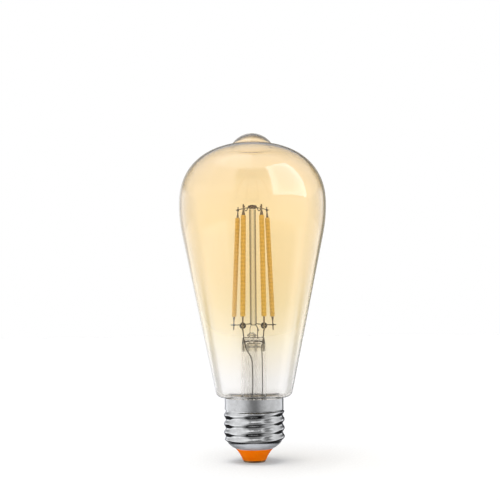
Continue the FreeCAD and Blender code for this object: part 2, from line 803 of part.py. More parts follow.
os.makedirs("parts", exist_ok=True)
for node, shape in model().items():
    shape.exportStep(os.path.join("parts", node + ".step"))
    print(f"{node:34s} solids {len(shape.Solids):3d}  volume {shape.Volume:10.3f}  valid {shape.isValid()}")
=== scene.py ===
"""The looks of a pear-shaped LED filament lamp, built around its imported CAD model.

The scene is in metres, +Z up, with -Y the front. The glass pieces and the filaments' coats are
built here as smooth meshes, from dimensions in millimetres; every other piece is the CAD node with
a new material.
"""
import bpy
import math
from mathutils import Matrix, Vector, noise


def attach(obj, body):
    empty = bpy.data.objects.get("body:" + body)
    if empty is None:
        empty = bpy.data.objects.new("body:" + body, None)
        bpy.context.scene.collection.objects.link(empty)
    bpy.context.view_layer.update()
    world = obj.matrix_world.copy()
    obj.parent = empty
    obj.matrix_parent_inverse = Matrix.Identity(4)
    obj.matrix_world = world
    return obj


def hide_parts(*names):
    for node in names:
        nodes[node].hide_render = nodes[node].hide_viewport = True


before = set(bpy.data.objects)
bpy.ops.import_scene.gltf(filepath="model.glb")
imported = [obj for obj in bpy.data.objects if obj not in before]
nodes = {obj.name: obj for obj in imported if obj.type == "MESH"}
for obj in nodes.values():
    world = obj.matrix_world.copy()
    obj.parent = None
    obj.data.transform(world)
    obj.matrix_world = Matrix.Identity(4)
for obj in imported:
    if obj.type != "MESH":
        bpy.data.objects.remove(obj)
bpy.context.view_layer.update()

MM = 0.001

# These dimensions are the CAD model's, except GAP, and PIP_FILLET, which is doubled to soften the
# pip's foot.
WALL = 0.8
NECK_R = 11.2
NECK_Z = 20.3
NECK_TOP = 25.9
NECK_FILLET = 1.5
SHOULDER_R = 3.2
SHOULDER_CENTRE = 13.57
CONE_ANGLE = math.radians(11.7)
CONE_TOP = 98.0
BELLY_R = 32.1
CROWN_Z = 137.8
CROWN_POWER = 2.3
PIP_R = 10.5
TOTAL_H = 142.4
PIP_FILLET = 2.6

STEM_TOP_R = 5.25
STEM_LOW_R = 5.5
STEM_WALL = 1.0
FLARE_Z = 29.5
FLARE_BASE = 19.5
PINCH_Z = 48.5
PINCH_TOP = 53.2
PINCH_HALF = (4.9, 2.5)
CAVITY_TOP = 50.0
CAVITY_HALF = (3.9, 2.5)
EXHAUST_X = -0.7
EXHAUST_R = 2.3
EXHAUST_BORE = 1.5
EXHAUST_TIP = 21.5
VENT_R = 0.9
ROD_R = 1.5
ROD_Z = (58.2, 109.05)
BEAD_R = 2.0
BEAD_T = 1.6
GAP = 0.04                # between two pieces of glass that meet

COAT_Z = (62.0, 105.6)
COAT_HALF = (1.05, 0.875)
COAT_CORNER = 0.7
FILAMENT_ENDS = {         # the coat's axis at its foot and head, for the left one of each pair
    "front": ((-4.48, -8.45), (-3.93, -6.55)),
    "rear": ((-8.45, 4.48), (-6.55, 3.93)),
}


# ---- camera, light and stage ----

CAMERA_DISTANCE = 0.400
CAMERA_HEIGHT = 0.0595
AIM = Vector((-0.0012, 0, 0.0910))
CAMERA_ROLL = math.radians(0.48)
LENS = 66.15              # millimetres, as is the sensor's width
SENSOR = 36
FAR_CLIP = 20             # metres


def add_object(name, data):
    made = bpy.data.objects.new(name, data)
    bpy.context.scene.collection.objects.link(made)
    return made


def make_camera():
    camera = add_object("camera", bpy.data.cameras.new("camera"))
    camera.data.sensor_width = SENSOR
    camera.data.lens = LENS
    camera.data.clip_end = FAR_CLIP
    camera.location = (AIM.x, -CAMERA_DISTANCE, CAMERA_HEIGHT)
    towards = (AIM - camera.location).to_track_quat("-Z", "Y").to_matrix()
    camera.rotation_euler = (towards @ Matrix.Rotation(-CAMERA_ROLL, 3, "Z")).to_euler()
    bpy.context.scene.camera = camera


def area_light(name, where, aim, size, power):
    """A soft box that faces a point, its size given as (width, height)."""
    light = bpy.data.lights.new(name, "AREA")
    light.shape = "RECTANGLE"
    light.size, light.size_y = size
    light.energy = power
    lamp = add_object(name, light)
    lamp.location = where
    lamp.rotation_euler = (Vector(aim) - Vector(where)).to_track_quat("-Z", "Y").to_euler()
    return lamp


def fill_ramp(node, stops):
    """Gives a colour ramp its (position, colour) stops."""
    elements = node.color_ramp.elements
    elements.remove(elements[-1])
    for i, (position, colour) in enumerate(stops):
        element = elements[0] if i == 0 else elements.new(position)
        element.position = position
        element.color = (*colour, 1)


ROOM_PEAK = 4.0           # no brightness in these tables is above it
# Brightness of the room as it is mirrored, one belt for each height above or below the horizon.
# Each entry is degrees from the front, then the brightness at the right, then at the left.
ROOM = {
    "foot": [(0, 1.3, 1.4), (90, 1.6, 1.8), (180, 1.0, 1.0)],
    "under": [(0, 0.02, 0.02), (50, 0.02, 0.02), (72, 1.2, 1.6), (106, 1.2, 1.6), (118, 0.03, 0.03),
              (155, 0.03, 0.03), (180, 0.4, 0.4)],
    "below": [(0, 0.45, 0.45), (24, 0.4, 0.5), (45, 0.9, 3.1), (70, 1.5, 3.5), (85, 2.9, 3.5),
              (104, 2.9, 3.3), (116, 0.05, 0.05), (158, 0.05, 0.05), (180, 0.9, 0.9)],
    "low": [(0, 0.63, 0.63), (10, 0.66, 0.70), (34, 1.4, 1.6), (50, 1.8, 2.15), (84, 2.1, 2.4),
            (138, 2.1, 2.4), (150, 0.12, 0.9), (172, 0.12, 0.85), (180, 1.0, 1.0)],
    "mid": [(0, 1.0, 1.0), (24, 1.0, 1.0), (32, 2.4, 2.3), (38, 2.4, 2.3), (46, 0.5, 2.4),
            (68, 0.6, 2.5), (84, 2.5, 2.7), (120, 1.7, 1.9), (145, 0.1, 0.5), (180, 0.1, 0.1)],
    "upper": [(0, 0.4, 0.4), (26, 0.4, 0.4), (32, 2.0, 2.2), (38, 2.0, 2.4), (46, 0.5, 2.4),
              (68, 0.6, 2.4), (84, 2.5, 2.7), (120, 1.8, 2.0), (145, 0.8, 1.1), (180, 0.9, 0.9)],
    "high": [(0, 2.8, 3.2), (38, 2.4, 3.6), (100, 2.2, 3.6), (120, 1.4, 2.6), (145, 0.7, 1.4),
             (180, 1.2, 1.2)],
}
ROOM_STEPS = {            # the sine of the elevation where one belt gives way to the next
    "under": (-0.97, -0.94),
    "below": (-0.76, -0.60),
    "low": (-0.23, -0.15),
    "mid": (0.17, 0.27),
    "upper": (0.44, 0.54),
    "high": (0.74, 0.88),
}
BEHIND = {                # the same, for light that has come through the lamp
    "below": [(0, 0.6, 0.6), (180, 0.9, 0.9)],
    "level": [(0, 0.8, 0.8), (40, 1.0, 1.0), (72, 1.3, 1.17), (100, 1.3, 1.17), (112, 0.3, 0.3),
              (148, 0.3, 0.3), (156, 0.48, 0.65), (163, 0.82, 0.9), (171, 1.0, 0.98),
              (177, 1.04, 1.03), (180, 1.05, 1.05)],
    "low": [(0, 0.8, 0.8), (40, 1.0, 1.0), (72, 1.3, 1.17), (102, 1.3, 1.17), (112, 0.3, 0.3),
            (148, 0.3, 0.3), (156, 0.48, 0.65), (163, 0.82, 0.9), (171, 1.07, 1.01),
            (177, 1.14, 1.11), (180, 1.15, 1.15)],
    "high": [(0, 0.25, 0.25), (100, 0.3, 0.3), (150, 0.12, 0.16), (180, 0.12, 0.12)],
}
BEHIND_STEPS = {
    "level": (-0.12, -0.03),
    "low": (0.0, 0.09),
    "high": (0.28, 0.44),
}
# The same for the light that falls on dull surfaces, alike at every height.
SKY = [(0, 1.0, 1.0), (40, 0.8, 0.8), (75, 0.15, 0.2), (120, 0.3, 0.3), (180, 0.5, 0.5)]
COOL = (0.97, 1.0, 1.08)  # the colour of the room in reflections


def make_world():
    """A white backdrop, and a room with its own tables for mirrored, passed and scattered light."""
    world = bpy.data.worlds.new("studio")
    bpy.context.scene.world = world
    world.use_nodes = True
    tree = world.node_tree
    tree.nodes.clear()

    def add(kind, **settings):
        node = tree.nodes.new(kind)
        for key, value in settings.items():
            setattr(node, key, value)
        return node

    def feed(socket, value):
        if isinstance(value, bpy.types.NodeSocket):
            tree.links.new(value, socket)
        else:
            socket.default_value = value

    def maths(operation, *values):
        node = add("ShaderNodeMath", operation=operation)
        for socket, value in zip(node.inputs, values):
            feed(socket, value)
        return node.outputs[0]

    def mixed(share, one, two):
        node = add("ShaderNodeMix", data_type="FLOAT")
        for place, value in ((0, share), (2, one), (3, two)):
            feed(node.inputs[place], value)
        return node.outputs[0]

    parts = add("ShaderNodeSeparateXYZ")
    tree.links.new(add("ShaderNodeTexCoord").outputs["Generated"], parts.inputs[0])
    x, y, z = parts.outputs
    turn = maths("DIVIDE", maths("ARCTAN2", x, maths("MULTIPLY", y, -1)), math.pi)
    on_left = maths("LESS_THAN", turn, 0)
    away = maths("ABSOLUTE", turn)

    def belt(stops):
        """The brightness all round, from one table."""
        sides = []
        for column in (1, 2):
            ramp = add("ShaderNodeValToRGB")
            fill_ramp(ramp, [(stop[0] / 180, (stop[column] / ROOM_PEAK,) * 3)
                             for stop in stops])
            tree.links.new(away, ramp.inputs[0])
            sides.append(ramp.outputs[0])
        return maths("MULTIPLY", mixed(on_left, *sides), ROOM_PEAK)

    def stacked(belts, steps):
        """Belts from the lowest up, each one taking over at its own height."""
        room = belt(next(iter(belts.values())))
        for name, (start, end) in steps.items():
            rise = add("ShaderNodeMapRange", interpolation_type="SMOOTHSTEP")
            for socket, value in (("From Min", start), ("From Max", end), ("Value", z)):
                feed(rise.inputs[socket], value)
            room = mixed(rise.outputs[0], room, belt(belts[name]))
        return room

    path = add("ShaderNodeLightPath").outputs
    seen = mixed(path["Is Transmission Ray"],
                 stacked(ROOM, ROOM_STEPS), stacked(BEHIND, BEHIND_STEPS))
    seen = mixed(path["Is Diffuse Ray"], seen, belt(SKY))
    seen = mixed(path["Is Camera Ray"], seen, 1.0)
    background = add("ShaderNodeBackground")
    tree.links.new(seen, background.inputs["Strength"])
    hue = add("ShaderNodeMix", data_type="RGBA")
    mirrored = maths("SUBTRACT", path["Is Glossy Ray"], path["Is Transmission Ray"])
    for place, value in ((0, mirrored), (6, (1, 1, 1, 1)), (7, (*COOL, 1))):
        feed(hue.inputs[place], value)
    tree.links.new(hue.outputs[2], background.inputs["Color"])
    output = add("ShaderNodeOutputWorld")
    tree.links.new(background.outputs[0], output.inputs[0])


KEY_STRENGTH = 2.75
KEY_SPREAD = math.radians(45)
KEY_DIRECTION = Vector((0.14, 0.04, -1))
WINDOW = (0.52, -0.30, 0.65), (0, 0, 0.65), (0.69, 0.90)    # its place, its aim and its size
WINDOW_POWER = 8.0
WINDOW_COLOUR = (0.77, 0.9, 1.08)
WINDOW_POWER_INSIDE = 3.4  # the same window, as light that has come through glass sees it


def make_lights():
    """A soft key from above, a little to the left, and a window of light at the right."""
    key = bpy.data.lights.new("key", "SUN")
    key.energy = KEY_STRENGTH
    key.angle = KEY_SPREAD
    lamp = add_object("key", key)
    lamp.rotation_euler = KEY_DIRECTION.to_track_quat("-Z", "Y").to_euler()
    lamp.visible_glossy = lamp.visible_transmission = False
    window = area_light("window", *WINDOW, WINDOW_POWER)
    window.data.color = WINDOW_COLOUR
    window.visible_diffuse = window.visible_transmission = False
    inside = area_light("window_inside", *WINDOW, WINDOW_POWER_INSIDE)
    inside.visible_diffuse = inside.visible_glossy = False


FLOOR_REACH = 3.5         # metres
FLOOR_RINGS = 12
FLOOR_SPOKES = 64
FLOOR_GLOW = 0.2          # a little light of the floor's own, which lifts it towards white


def make_floor():
    """A round white floor, its rings closer together near the lamp."""
    verts = [(0, 0, 0)]
    faces = []
    for ring in range(1, FLOOR_RINGS + 1):
        radius = FLOOR_REACH * (ring / FLOOR_RINGS) ** 2
        for spoke in range(FLOOR_SPOKES):
            angle = 2 * math.pi * spoke / FLOOR_SPOKES
            verts.append((radius * math.cos(angle), radius * math.sin(angle), 0))
    for spoke in range(FLOOR_SPOKES):
        after = (spoke + 1) % FLOOR_SPOKES
        faces.append((0, 1 + spoke, 1 + after))
        for ring in range(FLOOR_RINGS - 1):
            low, high = 1 + ring * FLOOR_SPOKES, 1 + (ring + 1) * FLOOR_SPOKES
            faces.append((low + spoke, high + spoke, high + after, low + after))
    mesh = bpy.data.meshes.new("floor")
    mesh.from_pydata(verts, [], faces)
    floor = add_object("floor", mesh)
    surface = Surface("floor_paper", {"Roughness": 0.7, "Specular IOR Level": 0.2})
    surface.colour_from_noise(900, (0.58, 0.58, 0.58), (0.62, 0.62, 0.62))
    surface.shader.inputs["Emission Color"].default_value = (1, 1, 1, 1)
    surface.shader.inputs["Emission Strength"].default_value = FLOOR_GLOW
    mesh.materials.append(surface.material)
    floor.visible_glossy = False


# ---- materials ----

class Surface:
    """A node material around one Principled shader."""

    def __init__(self, name, values):
        self.material = bpy.data.materials.new(name)
        self.material.use_nodes = True
        self.tree = self.material.node_tree
        self.shader = self.tree.nodes["Principled BSDF"]
        self.place = self.add("ShaderNodeTexCoord").outputs["Object"]
        for socket, value in values.items():
            self.shader.inputs[socket].default_value = value

    def add(self, kind, **settings):
        node = self.tree.nodes.new(kind)
        for key, value in settings.items():
            setattr(node, key, value)
        return node

    def join(self, source, target):
        self.tree.links.new(source, target)

    def stretched(self, scale):
        """The place in space, stretched by a factor on each axis."""
        mapping = self.add("ShaderNodeMapping")
        mapping.inputs["Scale"].default_value = scale
        self.join(self.place, mapping.inputs["Vector"])
        return mapping.outputs[0]

    def noise(self, per_metre, detail=3.0, stretch=(1, 1, 1)):
        node = self.add("ShaderNodeTexNoise")
        node.inputs["Scale"].default_value = per_metre
        node.inputs["Detail"].default_value = detail
        self.join(self.stretched(stretch), node.inputs["Vector"])
        return node.outputs["Fac"]

    def ramp(self, source, stops):
        """A colour for each position of the source, as (position, colour) stops."""
        node = self.add("ShaderNodeValToRGB")
        fill_ramp(node, stops)
        self.join(source, node.inputs[0])
        return node.outputs[0]

    def mottle(self, source, low, high):
        """From the low colour to the high one over the middle of a noise."""
        return self.ramp(source, [(0.35, low), (0.65, high)])

    def ranged(self, source, low, high, start=0.35, end=0.65):
        node = self.add("ShaderNodeMapRange")
        for socket, value in (("From Min", start), ("From Max", end),
                              ("To Min", low), ("To Max", high)):
            node.inputs[socket].default_value = value
        self.join(source, node.inputs["Value"])
        return node.outputs[0]

    def colour_from_noise(self, per_metre, low, high, stretch=(1, 1, 1)):
        mottled = self.mottle(self.noise(per_metre, 4, stretch), low, high)
        self.join(mottled, self.shader.inputs["Base Color"])

    def roughness_from_noise(self, per_metre, low, high, stretch=(1, 1, 1)):
        source = self.ranged(self.noise(per_metre, 3, stretch), low, high)
        self.join(source, self.shader.inputs["Roughness"])

    def bump(self, source, height, strength=1.0):
        """Relief from a source, its height in metres."""
        node = self.add("ShaderNodeBump")
        node.inputs["Strength"].default_value = strength
        node.inputs["Distance"].default_value = height
        self.join(source, node.inputs["Height"])
        if self.shader.inputs["Normal"].links:
            self.join(self.shader.inputs["Normal"].links[0].from_socket, node.inputs["Normal"])
        self.join(node.outputs[0], self.shader.inputs["Normal"])

    def tinted_depth(self, tint, per_metre):
        """Dims light by how much of the glass it crosses."""
        depth = self.add("ShaderNodeVolumeAbsorption")
        depth.inputs["Color"].default_value = (*tint, 1)
        depth.inputs["Density"].default_value = per_metre
        self.join(depth.outputs[0], self.tree.nodes["Material Output"].inputs["Volume"])

    def clear_shadow(self, tint):
        """Lets light through to what is inside, as glass does."""
        output = self.tree.nodes["Material Output"]
        through = self.add("ShaderNodeBsdfTransparent")
        through.inputs[0].default_value = (*tint, 1)
        mix = self.add("ShaderNodeMixShader")
        self.join(self.add("ShaderNodeLightPath").outputs["Is Shadow Ray"], mix.inputs[0])
        self.join(self.shader.outputs[0], mix.inputs[1])
        self.join(through.outputs[0], mix.inputs[2])
        self.join(mix.outputs[0], output.inputs["Surface"])


RIM_TINT = (0.30, 0.25, 0.15)
RIM_DENSITY = 90          # per metre; dims the long way through the wall at the outline
STEM_TINT = (0.35, 0.25, 0.20)
STEM_DENSITY = 45         # per metre
BUTTON_DENSITY = 700      # per metre; makes the top bead dark
AMBER = [                 # height in millimetres, and the colour that one wall lets through
    (0, (0.96, 0.955, 0.95)),
    (34, (0.96, 0.95, 0.935)),
    (42, (0.97, 0.94, 0.88)),
    (50, (0.98, 0.93, 0.81)),
    (58, (0.985, 0.90, 0.71)),
    (68, (0.98, 0.87, 0.63)),
    (80, (0.985, 0.855, 0.60)),
    (105, (0.985, 0.855, 0.605)),
    (TOTAL_H, (0.98, 0.855, 0.655)),
]


def amber_glass():
    """Clear glass with an amber coat that fades out towards the neck."""
    glass = Surface("amber_glass", {"Transmission Weight": 1, "Roughness": 0, "IOR": 1.47})
    height = glass.add("ShaderNodeSeparateXYZ")
    glass.join(glass.place, height.inputs[0])
    drift = glass.ranged(glass.noise(60, 2, (1, 1, 0.4)), -0.0012, 0.0012, 0.3, 0.7)
    uneven = glass.add("ShaderNodeMath", operation="ADD")
    glass.join(height.outputs["Z"], uneven.inputs[0])
    glass.join(drift, uneven.inputs[1])
    level = glass.ranged(uneven.outputs[0], 0, 1, 0, TOTAL_H * MM)
    stops = [(z / TOTAL_H, colour) for z, colour in AMBER]
    glass.join(glass.ramp(level, stops), glass.shader.inputs["Base Color"])
    glass.tinted_depth(RIM_TINT, RIM_DENSITY)
    glass.clear_shadow((0.985, 0.965, 0.93))
    return glass.material


def clear_glass(name, per_metre):
    """Glass that dims light by some share for each metre of it."""
    glass = Surface(name, {"Transmission Weight": 1, "Roughness": 0, "IOR": 1.52})
    glass.colour_from_noise(300, (0.965, 0.97, 0.965), (0.98, 0.98, 0.975))
    glass.tinted_depth(STEM_TINT, per_metre)
    glass.clear_shadow((0.93, 0.93, 0.93))
    return glass.material


BOWL_Z = (0.0080, 0.0090)  # where the satin bottom of the cap, painted lighter, gives way to the bright thread, painted darker
# One nickel plate in two tones: the thread's darker tone is painted shade and the bowl's lighter
# tone is painted light; the bowl's extra roughness is real satin.
THREAD_PLATE_PAINTED_SHADE = (0.24, 0.235, 0.22), (0.28, 0.275, 0.26)
BOWL_PLATE_PAINTED_LIGHT = (0.68, 0.68, 0.67), (0.75, 0.75, 0.74)
SATIN_ROUGHNESS = 0.42    # over that of the thread


def cap_metal():
    """Nickel plate, bright on the thread with fine marks around it, satin below, its colour painted
    darker on the thread and lighter on the bowl as painted shade and painted light.
    """
    metal = Surface("cap_metal", {"Metallic": 1})
    height = metal.add("ShaderNodeSeparateXYZ")
    metal.join(metal.place, height.inputs[0])
    satin_and_painted_light = metal.ranged(height.outputs["Z"], 1, 0, *BOWL_Z)
    grain = metal.noise(450, 4)
    # painted shade on the thread and painted light on the bowl, chosen by height
    plate_painted_light_and_shade = metal.add("ShaderNodeMix", data_type="RGBA")
    metal.join(satin_and_painted_light, plate_painted_light_and_shade.inputs[0])
    metal.join(metal.mottle(grain, *THREAD_PLATE_PAINTED_SHADE), plate_painted_light_and_shade.inputs[6])
    metal.join(metal.mottle(grain, *BOWL_PLATE_PAINTED_LIGHT), plate_painted_light_and_shade.inputs[7])
    metal.join(plate_painted_light_and_shade.outputs[2], metal.shader.inputs["Base Color"])
    polish = metal.add("ShaderNodeMath", operation="MULTIPLY_ADD")
    metal.join(satin_and_painted_light, polish.inputs[0])
    polish.inputs[1].default_value = SATIN_ROUGHNESS
    metal.join(metal.ranged(metal.noise(260, 3, (1, 1, 6)), 0.07, 0.13), polish.inputs[2])
    metal.join(polish.outputs[0], metal.shader.inputs["Roughness"])
    metal.bump(metal.noise(1500, 4, (1, 1, 7)), 0.000012)
    metal.bump(metal.noise(180, 2), 0.00006, 0.5)
    return metal.material


def orange_insulator():
    """Moulded orange cone, a little cloudy."""
    cone = Surface("orange_insulator", {"Roughness": 0.5, "IOR": 1.12})
    cone.colour_from_noise(350, (0.98, 0.175, 0.0), (1.0, 0.21, 0.0))
    cone.roughness_from_noise(900, 0.4, 0.55)
    cone.bump(cone.noise(700, 3), 0.00005, 0.6)
    return cone.material


def plain_metal(name, low, high, rough, per_metre=900, relief=0.00001, stretch=(1, 1, 1)):
    """Metal with mottling and a fine grain, its relief in metres."""
    metal = Surface(name, {"Metallic": 1, "Roughness": rough[0]})
    metal.colour_from_noise(per_metre, low, high, stretch)
    metal.roughness_from_noise(per_metre * 0.6, *rough, stretch)
    metal.bump(metal.noise(per_metre * 3, 4, stretch), relief)
    return metal.material


def plain_solid(name, low, high, rough, per_metre=900, relief=0.00002):
    """Plastic, resin, ceramic or paint, with mottling and a fine grain."""
    solid = Surface(name, {"Roughness": rough[0]})
    solid.colour_from_noise(per_metre, low, high)
    solid.roughness_from_noise(per_metre * 0.5, *rough)
    solid.bump(solid.noise(per_metre * 2.5, 5), relief)
    return solid.material


# A light and a dark band together. The chips are closer: 1.45 mm apart in the front pair of
# filaments and 1.54 mm in the rear pair.
COAT_BAND = 1.65 * MM
WAVE_LENGTH = 0.31        # roughly that of a wave texture at a scale of 1


def phosphor_coat():
    """Silicone with phosphor powder: soft and grainy, with faint bands across it."""
    coat = Surface("phosphor_coat", {"Roughness": 0.5, "Specular IOR Level": 0.4})
    wave = coat.add("ShaderNodeTexWave", bands_direction="Z")
    wave.inputs["Scale"].default_value = WAVE_LENGTH / COAT_BAND
    wave.inputs["Distortion"].default_value = 0.6
    coat.join(coat.place, wave.inputs["Vector"])
    mottle = coat.add("ShaderNodeMath", operation="MULTIPLY_ADD")
    coat.join(coat.noise(1400, 5), mottle.inputs[0])
    mottle.inputs[1].default_value = 0.7
    coat.join(coat.ranged(wave.outputs["Fac"], 0.0, 0.3, 0.0, 1.0), mottle.inputs[2])
    stops = [(0.25, (0.66, 0.42, 0.06)), (0.5, (0.76, 0.50, 0.085)), (0.8, (0.84, 0.58, 0.12))]
    coat.join(coat.ramp(mottle.outputs[0], stops), coat.shader.inputs["Base Color"])
    coat.bump(coat.noise(2600, 4), 0.00003)
    return coat.material


def dress_nodes(finishes):
    """Gives every CAD node the material of its slot."""
    for node in nodes.values():
        slot = node.data.materials[0].name.split(".")[0]
        node.data.materials[0] = finishes[slot]


WIRE_GRAIN = (1, 1, 0.2)  # drawn out along Z
METALS = {                # slot: name, darkest and lightest colour, roughness, and the grain
    # The centre contact's brass is darkened nearly to black: painted shade at the foot, where the
    # lamp meets the floor.
    "contact_brass": ("contact_brass_finish",
                      (0.10, 0.05, 0.015), (0.16, 0.085, 0.03), (0.5, 0.7)),
    "can_aluminium": ("can_finish", (0.78, 0.78, 0.8), (0.86, 0.86, 0.88), (0.25, 0.4)),
    "copper": ("copper_finish", (0.80, 0.36, 0.20), (0.90, 0.46, 0.28), (0.25, 0.4)),
    "tin_plate": ("tin_finish", (0.66, 0.67, 0.68), (0.76, 0.77, 0.78), (0.25, 0.45)),
    "tab_metal": ("tab_finish", (0.20, 0.16, 0.11), (0.30, 0.25, 0.18), (0.4, 0.55)),
    "support_wire": ("wire_finish", (0.055, 0.045, 0.032), (0.11, 0.09, 0.065), (0.35, 0.5),
                     1200, 0.000008, WIRE_GRAIN),
    "tinned_wire": ("tinned_wire_finish", (0.70, 0.70, 0.70), (0.80, 0.80, 0.80), (0.2, 0.35)),
}
SOLIDS = {                # the same for what is not metal
    "cement": ("cement_finish", (0.62, 0.56, 0.46), (0.74, 0.68, 0.58), (0.8, 0.95),
               1500, 0.00006),
    "sleeve_film": ("sleeve_finish", (0.80, 0.78, 0.72), (0.86, 0.84, 0.78), (0.3, 0.45)),
    "board_green": ("board_green_finish", (0.01, 0.10, 0.035), (0.02, 0.15, 0.05), (0.3, 0.45)),
    "board_dark": ("board_dark_finish",
                   (0.01, 0.014, 0.02), (0.02, 0.026, 0.035), (0.3, 0.45)),
    "black_mould": ("black_mould_finish",
                    (0.012, 0.012, 0.013), (0.03, 0.03, 0.032), (0.45, 0.6)),
    "ferrite": ("ferrite_finish", (0.02, 0.019, 0.018), (0.05, 0.048, 0.046), (0.55, 0.75)),
    "chip_ceramic": ("chip_part_finish", (0.35, 0.27, 0.18), (0.5, 0.4, 0.28), (0.4, 0.6)),
    "resistor_glaze": ("resistor_finish", (0.10, 0.22, 0.16), (0.15, 0.30, 0.22), (0.2, 0.35)),
    "strip_ceramic": ("strip_finish", (0.85, 0.83, 0.78), (0.93, 0.91, 0.86), (0.35, 0.5)),
    "light_chip": ("light_chip_finish", (0.62, 0.70, 0.78), (0.75, 0.82, 0.9), (0.15, 0.3)),
}


def make_finishes():
    """One material for each slot."""
    made = {
        "amber_glass": amber_glass(),
        "clear_glass": clear_glass("clear_glass", STEM_DENSITY),
        "cap_metal": cap_metal(),
        "orange_insulator": orange_insulator(),
        "phosphor_coat": phosphor_coat(),
    }
    made.update({slot: plain_metal(*values) for slot, values in METALS.items()})
    made.update({slot: plain_solid(*values) for slot, values in SOLIDS.items()})
    return made


# ---- glass meshes ----

def around(centre, radius, angle):
    """The point of a circle at an angle."""
    return centre[0] + radius * math.cos(angle), centre[1] + radius * math.sin(angle)


def arc_points(centre, radius, start, end, steps):
    """Points along an arc, without its first one."""
    return [around(centre, radius, start + (end - start) * i / steps) for i in range(1, steps + 1)]


def straight(start, end, steps):
    """Points along a straight line, without its first one."""
    return [tuple(a + (b - a) * i / steps for a, b in zip(start, end)) for i in range(1, steps + 1)]


def bezier_points(poles, steps):
    """Points along a cubic curve, its first one left out."""
    spots = []
    for i in range(1, steps + 1):
        t = i / steps
        weights = ((1 - t) ** 3, 3 * t * (1 - t) ** 2, 3 * t * t * (1 - t), t ** 3)
        spots.append(tuple(sum(w * p[axis] for w, p in zip(weights, poles)) for axis in (0, 1)))
    return spots


def cone_radius(z):
    """The radius of the straight flank at a height."""
    start_r = SHOULDER_CENTRE + SHOULDER_R * math.cos(CONE_ANGLE)
    start_z = NECK_TOP + NECK_FILLET + SHOULDER_R * (1 - math.sin(CONE_ANGLE))
    return start_r + (z - start_z) * math.tan(CONE_ANGLE)


BELLY_ARC = (BELLY_R - cone_radius(CONE_TOP)) / (1 - math.cos(CONE_ANGLE))
BELLY_Z = CONE_TOP + BELLY_ARC * math.sin(CONE_ANGLE)


def dome_point(t, inset):
    """A point of the dome, from the belly at 0 to the crown at 1, moved in by inset."""
    height = CROWN_Z - BELLY_Z
    c, s = math.cos(t * math.pi / 2), math.sin(t * math.pi / 2)
    r = BELLY_R * c ** (2 / CROWN_POWER)
    z = height * s ** (2 / CROWN_POWER)
    normal_r = (r / BELLY_R) ** (CROWN_POWER - 1) / BELLY_R
    normal_z = (z / height) ** (CROWN_POWER - 1) / height
    length = math.hypot(normal_r, normal_z)
    return r - inset * normal_r / length, BELLY_Z + z - inset * normal_z / length


def pip_seam():
    """Where on the dome its blend into the pip starts, and the middle of that blend's arc."""
    pip_middle = TOTAL_H - PIP_R
    low, high = 0.5, 0.999
    for _ in range(60):
        t = (low + high) / 2
        r, z = dome_point(t, -PIP_FILLET)
        if math.hypot(r, z - pip_middle) > PIP_R + PIP_FILLET:
            low = t
        else:
            high = t
    return t, (r, z)


DOME_STEPS = 60
DOME_SPACING = 1.6        # over 1 brings the points closer together near the belly


def glass_outline(inset):
    """Half section of the pear shape, from the neck up to the top of the pip."""
    hollow, hollow_r = (NECK_R + NECK_FILLET, NECK_TOP), NECK_FILLET + inset
    shoulder = (SHOULDER_CENTRE, NECK_TOP + NECK_FILLET + SHOULDER_R)
    shoulder_r = SHOULDER_R - inset
    belly = (BELLY_R - BELLY_ARC, BELLY_Z)
    points = [(NECK_R - inset, NECK_Z)]
    points += straight(points[-1], (NECK_R - inset, NECK_TOP), 3)
    points += arc_points(hollow, hollow_r, math.pi, math.pi / 2, 10)
    points += [around(shoulder, shoulder_r, -math.pi / 2)]
    points += arc_points(shoulder, shoulder_r, -math.pi / 2, -CONE_ANGLE, 14)
    points += straight(points[-1], around(belly, BELLY_ARC - inset, -CONE_ANGLE), 24)
    points += arc_points(belly, BELLY_ARC - inset, -CONE_ANGLE, 0, 12)
    seam, blend = pip_seam()
    points += [dome_point(seam * (i / DOME_STEPS) ** DOME_SPACING, inset)
               for i in range(1, DOME_STEPS + 1)]
    pip_middle = (0, TOTAL_H - PIP_R)
    outward = math.atan2(points[-1][1] - blend[1], points[-1][0] - blend[0])
    inward = math.atan2(pip_middle[1] - blend[1], pip_middle[0] - blend[0])
    points += arc_points(blend, PIP_FILLET + inset, outward, inward, 10)
    start = inward + math.pi
    points += arc_points(pip_middle, PIP_R - inset, start, math.pi / 2, 24)
    points[-1] = (0, points[-1][1])
    return points


def smooth_mesh(name, verts, faces, sharp_angle=50):
    mesh = bpy.data.meshes.new(name)
    mesh.from_pydata([Vector(v) * MM for v in verts], [], faces)
    mesh.polygons.foreach_set("use_smooth", [True] * len(mesh.polygons))
    mesh.set_sharp_from_angle(angle=math.radians(sharp_angle))
    mesh.update()
    return mesh


def loft(name, rings, spokes, closed=False):
    """A skin over elliptical rings, each (x of its middle, height, half width, half depth).

    A ring of no width is a single point. A closed loft joins its last ring to its first."""
    verts, faces, starts = [], [], []
    for middle, z, half_x, half_y in rings:
        starts.append(len(verts))
        if half_x == 0:
            verts.append((middle, 0, z))
            continue
        for spoke in range(spokes):
            angle = 2 * math.pi * spoke / spokes
            verts.append((middle + half_x * math.cos(angle), half_y * math.sin(angle), z))
    pairs = list(zip(range(len(rings)), range(1, len(rings))))
    if closed:
        pairs.append((len(rings) - 1, 0))
    for one, two in pairs:
        a, b = starts[one], starts[two]
        for spoke in range(spokes):
            after = (spoke + 1) % spokes
            if rings[one][2] == 0:
                faces.append((a, b + after, b + spoke))
            elif rings[two][2] == 0:
                faces.append((a + spoke, a + after, b))
            else:
                faces.append((a + spoke, a + after, b + after, b + spoke))
    return smooth_mesh(name, verts, faces)


def round_rings(outline, middle=0.0):
    """Rings for loft from an outline of (radius, height)."""
    return [(middle, z, r, r) for r, z in outline]


